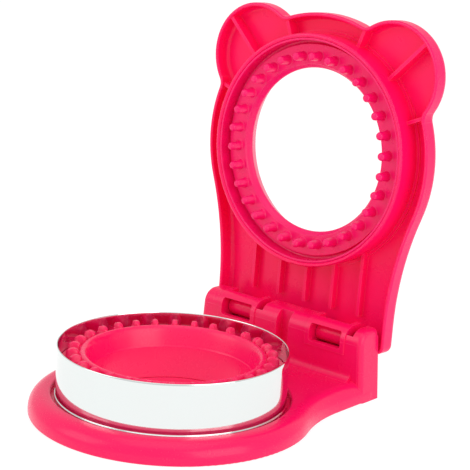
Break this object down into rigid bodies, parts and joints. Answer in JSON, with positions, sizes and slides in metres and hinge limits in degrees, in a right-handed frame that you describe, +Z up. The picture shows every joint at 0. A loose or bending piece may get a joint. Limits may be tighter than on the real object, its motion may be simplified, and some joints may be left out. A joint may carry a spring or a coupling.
{
  "type": "sandwich cutter and sealer",
  "caption": "Hinged hand press that cuts a round sandwich with a steel band and crimps its edge shut, with a plain bear-eared lid.",
  "frame": {"origin": "middle of the whole object's footprint on the table, with the lid open; the cutter's axis stands at y = -16.57 mm", "axes": "+Z up; +Y from the cutter towards the hinge; +X along the hinge pin, to the right as seen from the front"},
  "size_m": [0.108, 0.1378, 0.1445],
  "materials": {
    "pink_shell": "glossy moulded plastic, hot pink",
    "pink_lid": "glossy moulded plastic, hot pink",
    "pink_crimp": "glossy moulded plastic, hot pink",
    "pink_insert": "glossy moulded plastic, slightly cooler pink",
    "polished_steel": "mirror-polished stainless sheet",
    "zinc_steel": "bright zinc-plated screws",
    "pin_steel": "plain drawn steel wire pin"
  },
  "bodies": {
    "base": {"base_body": "pink_shell", "cutter_ring": "polished_steel", "lower_crimp_ring": "pink_crimp", "ring_screws": "zinc_steel", "hinge_pin": "pin_steel"},
    "lid": {"lid_body": "pink_lid", "upper_crimp_ring": "pink_insert"}
  },
  "joints": [
    {"name": "lid_hinge", "type": "hinge", "parent": "base", "child": "lid", "pos_m": [0, 0.05213, 0.02185], "axis": [1, 0, 0], "range_deg": [0, 92.2]}
  ]
}
